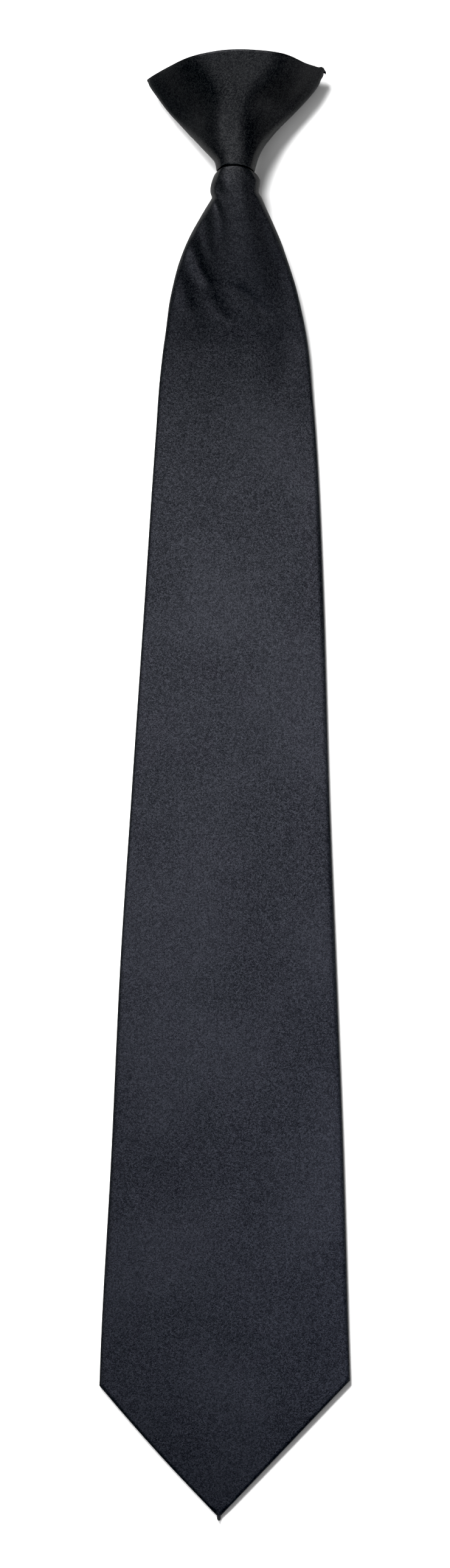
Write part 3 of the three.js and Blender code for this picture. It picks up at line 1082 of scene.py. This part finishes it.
@dataclass
class KnotCloth:
    """The fan-shaped false knot: a hollow wrap from the ring up to two folded wing tips."""

    frame: TieFrame
    ring: Ring
    wing_thickness: float = 2.9
    crest_depth: float = 15.8
    waist_dip: float = 0.5
    rim_radius: float = 0.3
    cloth_thickness: float = 0.9
    lip_roll: float = 0.7
    lip_sink: float = 0.8
    lip_depth: float = 3.0
    seam_gap: float = 0.4
    fray: float = 0.35
    opening: tuple[float, float] = (0.06, 0.62)
    ridge_shift: tuple[float, float] = (-0.6, 2.4)
    ring_ease: float = 0.09
    crest_ease: float = 0.2
    fold_crispness: float = 0.8
    rim_pivot: float = 0.35
    rim_flattening: float = 0.45
    top_closing: float = 0.97
    top_dish: float = 1.2

    # Share of the height, and of the way out from half of the ring's width to half of the knot's
    side_rows = (
        # rise, left, right
        (0.0, 0.0, 0.0),
        (0.08, 0.02, 0.028),
        (0.16, 0.104, 0.069),
        (0.24, 0.205, 0.130),
        (0.32, 0.305, 0.216),
        (0.40, 0.408, 0.310),
        (0.48, 0.503, 0.420),
        (0.56, 0.603, 0.536),
        (0.64, 0.700, 0.648),
        (0.72, 0.783, 0.753),
        (0.80, 0.860, 0.850),
        (0.88, 0.940, 0.922),
        (0.94, 0.985, 0.958),
        (1.0, 0.995, 1.0),
    )

    # Way out from the ridge to the edge, and the share of the ridge's height that is left there
    flank_rows = (
        # out, left, right
        (0.0, 1.0, 1.0),
        (0.15, 0.99, 0.988),
        (0.25, 0.95, 0.945),
        (0.34, 0.87, 0.87),
        (0.43, 0.755, 0.76),
        (0.53, 0.615, 0.63),
        (0.64, 0.45, 0.47),
        (0.76, 0.27, 0.29),
        (0.88, 0.115, 0.125),
        (1.0, 0.0, 0.0),
    )

    # Share of the half width, and the height of the top edge above the lip's sides in millimetres
    crest_rows = (
        # share, up
        (-1.0, 31.8),
        (-0.93, 33.2),
        (-0.77, 35.8),
        (-0.55, 38.8),
        (-0.33, 40.5),
        (-0.11, 41.5),
        (0.05, 41.7),
        (0.27, 41.4),
        (0.49, 40.6),
        (0.60, 39.7),
        (0.71, 38.3),
        (0.77, 37.5),
        (0.87, 36.7),
        (0.93, 36.3),
        (0.965, 36.6),
        (1.0, 35.1),
    )

    def __post_init__(self) -> None:
        """Makes the curves through the tables."""
        self.left_curve, self.right_curve = curves(self.side_rows)
        self.left_flank, self.right_flank = curves(self.flank_rows)
        (self.crest,) = curves(self.crest_rows)

    def section(self, rise: float) -> Section:
        """The knot's section at a share of its height.

        Args:
            rise: the share, 0 at the lip and 1 at the crest.

        Returns:
            The section: an oval at the ring, and a ridge with thin wings at the top.
        """
        back = self.frame.knot_back
        depth = self.ring.depth
        opened = smoothstep(rise, *self.opening)
        dip = self.waist_dip * math.sin(math.pi * min(1.0, rise / 0.8)) ** 2
        left = lerp(self.ring.width / 2, self.frame.knot_half, self.left_curve(rise))
        right = lerp(self.ring.width / 2, self.frame.knot_half, self.right_curve(rise))
        return Section(
            half=(left + right) / 2,
            edge=lerp(back + depth / 2, back + self.wing_thickness / 2, opened),
            roll=lerp(self.ring.roll, self.wing_thickness / 2, opened),
            top=back + lerp(depth, self.crest_depth, rise * rise) - dip,
            under=back,
            oval=1 - opened,
            centre=(right - left) / 2,
            ridge=lerp(*self.ridge_shift, smoothstep(rise, 0.35, 1.0)) * smoothstep(rise, 0.0, 0.3),
            slopes=(self.left_flank, self.right_flank),
            ease=self.ring_ease * (1 - smoothstep(rise, 0.1, 0.65))
            + self.crest_ease * smoothstep(rise, 0.5, 1.0),
            crispness=self.fold_crispness,
        )

    def along(self, rise: float, across: float, half: float) -> float:
        """How far up the tie a point of the knot stands, from the arched lip to the bowed crest."""
        share = clamp(across / half, -1.0, 1.0)
        return lerp(self.ring.arch * (1 - share * share), self.crest(share), rise)

    def body_point(self, column: Column, rise: float) -> Vector:
        """Where a column crosses a level of the knot's body, as across, up and height."""
        section = self.section(rise)
        edges = (self.seam_gap / 2, self.seam_gap / 2)
        point = section.place(column, edges)
        share = (point.x - section.centre) / section.half
        frayed = self.fray * smoothstep(abs(share), 0.9, 1.0) * smoothstep(rise, 0.8, 1.0)
        ragged = noise.noise(Vector((rise * 26.0, share * 3.0, 4.2))) * frayed
        return Vector((point.x + ragged, self.along(rise, point.x - section.centre, section.half), point.z))

    def place(self, column: Column, down: float) -> Vector:
        """Where a column of the cloth crosses a row.

        Rows from 0 to -1 climb the body, rows below -1 roll over the rim and close the top, and rows
        above 0 turn in under the lip.

        Args:
            column: the column.
            down: the row's number, as above.

        Returns:
            The place, as across, up and height in millimetres.
        """
        rim_start = 1 - self.rim_radius / self.frame.knot_height
        if down > 0:
            section = self.ring.section(self.lip_roll * (1 - math.cos(math.pi * min(down, 1.0))))
            point = section.place(column, (self.seam_gap / 2, self.seam_gap / 2))
            sink = self.lip_roll * math.sin(math.pi * min(down, 1.0)) * self.lip_sink
            inside = self.lip_depth * max(0.0, down - 1.0)
            return Vector((point.x, self.ring.lip_line(point.x) - sink + inside, point.z))
        if down >= -1:
            return self.body_point(column, -down * rim_start)
        bend = min(-1 - down, 1.0) * math.pi / 2
        rise = 1 - (self.rim_radius / self.frame.knot_height) * (1 - math.sin(bend))
        point = self.body_point(column, rise)
        facing = self.body_point(self.facing(column), rise)
        pivot = lerp(min(point.z, facing.z), max(point.z, facing.z), self.rim_pivot)
        flattening = self.rim_flattening * (1 - math.cos(bend))
        closing = max(0.0, -2 - down)
        height = lerp(lerp(point.z, pivot, flattening), pivot, closing * self.top_closing)
        dish = self.top_dish * math.sin(math.pi / 2 * closing)
        return Vector((point.x, point.y - dish, height))

    def facing(self, column: Column) -> Column:
        """The column that lies over or under a column, on the other side of the cloth."""
        if column.stretch is Stretch.FRONT:
            if column.share < 0.5:
                return Column(Stretch.LEFT_FLAP, column.share * 2)
            return Column(Stretch.RIGHT_FLAP, (column.share - 0.5) * 2)
        if column.stretch is Stretch.LEFT_FLAP:
            return Column(Stretch.FRONT, (1 - column.share) / 2)
        if column.stretch is Stretch.RIGHT_FLAP:
            return Column(Stretch.FRONT, 1 - column.share / 2)
        return Column(column.stretch, 1 - column.share)

    def rows(self) -> list[float]:
        """Numbers of the cloth's rows, from under the lip, up the body, over the rim and across the top."""
        lip_steps, body_steps, rim_steps, top_steps = 6, 56, 8, 6
        lip = [2.0, 1.5, *(i / lip_steps for i in range(lip_steps, 0, -1))]
        body = [-i / body_steps for i in range(body_steps + 1)]
        rim = [-1 - i / rim_steps for i in range(1, rim_steps + 1)]
        top = [-2 - i / top_steps for i in range(1, top_steps + 1)]
        return [*lip, *body, *rim, *top]

    def build(self, finish: SatinFinish, material: bpy.types.Material) -> bpy.types.Object:
        """Makes the knot.

        Args:
            finish: the satin; not used.
            material: the satin's material.

        Returns:
            The finished piece.
        """
        columns = folded_columns(flap=36, roll=6, front=84)
        piece = cloth_mesh("knot_cloth", columns, self.rows(), self.place, self.frame.origin)
        piece.data.materials.append(material)
        give_wall(piece, self.cloth_thickness)
        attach(piece, "root")
        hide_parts("knot_wrap")
        return piece


@dataclass
class CollarClip:
    """The hidden clip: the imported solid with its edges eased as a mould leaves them."""

    edge_radius: float = 0.35
    flat_angle: float = 1.0
    sharp_angle: float = 30.0

    def build(self, finish: PlasticFinish) -> bpy.types.Object:
        """Makes the clip from a merged copy of its solid.

        Args:
            finish: the plastic.

        Returns:
            The finished piece.
        """
        work = bmesh.new()
        work.from_mesh(bpy.data.objects["collar_clip"].data)
        bmesh.ops.remove_doubles(work, verts=work.verts, dist=1e-6)
        bmesh.ops.dissolve_limit(
            work, angle_limit=math.radians(self.flat_angle), verts=work.verts[:], edges=work.edges[:]
        )
        sharp = [
            edge
            for edge in work.edges
            if len(edge.link_faces) == 2 and edge.calc_face_angle() > math.radians(self.sharp_angle)
        ]
        bmesh.ops.bevel(
            work,
            geom=sharp,
            offset=self.edge_radius * MM,
            affect="EDGES",
            segments=3,
            profile=0.5,
            material=-1,
            clamp_overlap=True,
        )
        for face in work.faces:
            face.smooth = True
        piece = finish_mesh("clip_body", work)
        eased = piece.modifiers.new("even shading", "WEIGHTED_NORMAL")
        eased.keep_sharp = True
        piece.data.materials.append(finish.material())
        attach(piece, "root")
        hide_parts("collar_clip")
        log.info("clip_body: %d faces", len(piece.data.polygons))
        return piece


@dataclass
class SeamStitches:
    """Slip stitches that close the back seam of the blade, and the bar tack at its lower end."""

    blade: BladeCloth
    length: float = 2.6
    pitch: float = 7.0
    thickness: float = 0.16
    tack_width: float = 4.0
    tack_threads: int = 4
    tack_spacing: float = 2.2
    slants: tuple[float, float] = (22.0, 28.0)
    first_share: float = 0.3

    def thread(self, work: bmesh.types.BMesh, down: float, turn: float, length: float) -> None:
        """Adds one short thread on the seam.

        Args:
            work: the bmesh to add to.
            down: how far down from the lip its middle lies, in millimetres.
            turn: its direction on the table, in radians from across.
            length: its length, in millimetres.
        """
        blade = self.blade
        place = blade.frame.origin + Vector((0.0, -down, blade.lowest + self.thickness)) * MM
        shape = Matrix.Diagonal((length / 2 * MM, self.thickness * MM, self.thickness * MM, 1.0))
        matrix = Matrix.Translation(place) @ Matrix.Rotation(turn, 4, "Z") @ shape
        bmesh.ops.create_uvsphere(work, u_segments=10, v_segments=7, radius=1.0, matrix=matrix)

    def build(self, finish: ThreadFinish) -> bpy.types.Object:
        """Makes all the stitches as one joined mesh.

        Args:
            finish: the thread.

        Returns:
            The finished piece.
        """
        work = bmesh.new()
        apex = self.blade.straight_length - self.blade.opening_rise
        first = self.blade.straight_length * self.first_share
        for i, down in enumerate(spread(first, apex - self.tack_width, self.pitch)):
            self.thread(work, down, math.radians(self.slants[i % 2]), self.length)
        for i in range(self.tack_threads):
            down = apex - self.tack_width / 2 + i * self.thickness * self.tack_spacing
            self.thread(work, down, 0.0, self.tack_width)
        for face in work.faces:
            face.smooth = True
        piece = finish_mesh("seam_stitches", work)
        piece.data.materials.append(finish.material())
        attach(piece, "root")
        log.info("seam_stitches: %d faces", len(piece.data.polygons))
        return piece


class Reach(Enum):
    """What a light falls on: all of a surface, only its sheen, or only its body."""

    ALL = "all"
    SHEEN = "sheen"
    BODY = "body"


@dataclass
class Softbox:
    """One studio light: where it stands, what it faces and how strong it is."""

    name: str
    place: tuple[float, float, float]
    target: tuple[float, float, float]
    size: tuple[float, float]
    watts: float
    tint: tuple[float, float, float] = (1.0, 1.0, 1.0)
    reach: Reach = Reach.ALL

    def build(self) -> bpy.types.Object:
        """Makes the light, hidden from the camera itself."""
        light = bpy.data.lights.new(self.name, "AREA")
        light.shape = "RECTANGLE"
        light.size, light.size_y = self.size
        light.energy = self.watts
        light.color = self.tint
        lamp = bpy.data.objects.new(self.name, light)
        lamp.location = self.place
        direction = Vector(self.target) - Vector(self.place)
        lamp.rotation_euler = direction.to_track_quat("-Z", "Y").to_euler()
        lamp.visible_camera = False
        lamp.visible_diffuse = self.reach is not Reach.SHEEN
        lamp.visible_glossy = self.reach is not Reach.BODY
        bpy.context.scene.collection.objects.link(lamp)
        return lamp


@dataclass
class Studio:
    """White table, soft light from the upper left, and a camera straight above the tie."""

    camera_height: float = 4.0
    view_height: float = 0.543
    sensor: float = 36.0
    aim: tuple[float, float] = (-0.00176, 0.00084)
    roll_degrees: float = 0.5186
    floor_size: float = 6.0
    floor_colour: tuple[float, float, float] = (0.9, 0.9, 0.9)
    black_level: float = 0.0095
    ambient: float = 0.03
    backdrop: float = 0.93

    lights = (
        Softbox("key softbox", (-0.62, 1.5, 2.52), (0.0, 0.0, 0.0), (0.75, 0.75), 150.0),
        Softbox(
            "overhead softbox",
            (0.01, 0.08, 0.4),
            (0.01, 0.08, 0.0),
            (0.14, 0.27),
            0.72,
            reach=Reach.SHEEN,
        ),
        Softbox(
            "lower window",
            (0.1, -0.18, 0.36),
            (0.03, -0.17, 0.0),
            (0.12, 0.16),
            0.31,
            (0.91, 0.98, 1.14),
            Reach.SHEEN,
        ),
        Softbox("right fill", (1.5, -0.3, 0.7), (0.0, 0.1, 0.0), (0.8, 0.8), 7.0, reach=Reach.SHEEN),
        Softbox("table fill", (0.0, 0.0, 2.0), (0.0, 0.0, 0.0), (2.0, 2.0), 15.0, reach=Reach.BODY),
        Softbox("left fill", (-1.0, -0.1, 1.0), (0.0, 0.2, 0.0), (0.5, 0.5), 14.0, reach=Reach.BODY),
    )

    def camera(self) -> None:
        """Makes the camera, straight above the tie and turned as the photograph is."""
        camera = bpy.data.cameras.new("camera")
        camera.sensor_width = self.sensor
        camera.lens = self.sensor * self.camera_height / self.view_height
        holder = bpy.data.objects.new("camera", camera)
        holder.location = (*self.aim, self.camera_height)
        holder.rotation_euler = (0.0, 0.0, math.radians(self.roll_degrees))
        bpy.context.scene.collection.objects.link(holder)
        bpy.context.scene.camera = holder

    def floor(self) -> None:
        """Makes the plain white table."""
        work = bmesh.new()
        bmesh.ops.create_grid(work, x_segments=1, y_segments=1, size=self.floor_size / 2)
        floor = finish_mesh("table_top", work)
        material, sheet = new_material("white table")
        sheet.surface(
            {"Base Color": (*self.floor_colour, 1.0), "Roughness": 0.9, "Specular IOR Level": 0.1}
        )
        floor.data.materials.append(material)

    def surroundings(self) -> None:
        """Makes the pale surroundings: what the camera sees is bright, what lights the tie is dimmer."""
        world = bpy.data.worlds.new("pale surroundings")
        world.use_nodes = True
        sheet = ShaderSheet(world.node_tree)
        seen = sheet.add("LightPath").outputs["Is Camera Ray"]
        strength = sheet.mix(seen, self.ambient, self.backdrop)
        light = sheet.add("Background", {"Color": (1.0, 1.0, 1.0, 1.0), "Strength": strength})
        sheet.add("OutputWorld", {"Surface": light.outputs[0]})
        bpy.context.scene.world = world
        view = bpy.context.scene.view_settings
        view.view_transform = "Standard"
        view.use_curve_mapping = True
        view.curve_mapping.black_level = (self.black_level, self.black_level, self.black_level)
        view.curve_mapping.update()

    def build(self) -> None:
        """Sets up the whole studio."""
        self.camera()
        self.floor()
        self.surroundings()
        for light in self.lights:
            light.build()
        log.info("studio: %d softboxes", len(self.lights))


def main() -> None:
    """Builds the studio and the tie, piece by piece."""
    logging.basicConfig(level=logging.INFO, format="%(name)s: %(message)s")
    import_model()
    Studio().build()
    frame = TieFrame.from_nodes()
    ring = Ring(frame)
    satin = SatinFinish()
    cloth = satin.material()
    blade = BladeCloth(frame, ring)
    blade.build(satin, cloth)
    KnotCloth(frame, ring).build(satin, cloth)
    CollarClip().build(PlasticFinish())
    SeamStitches(blade).build(ThreadFinish())


if __name__ == "__main__":
    main()
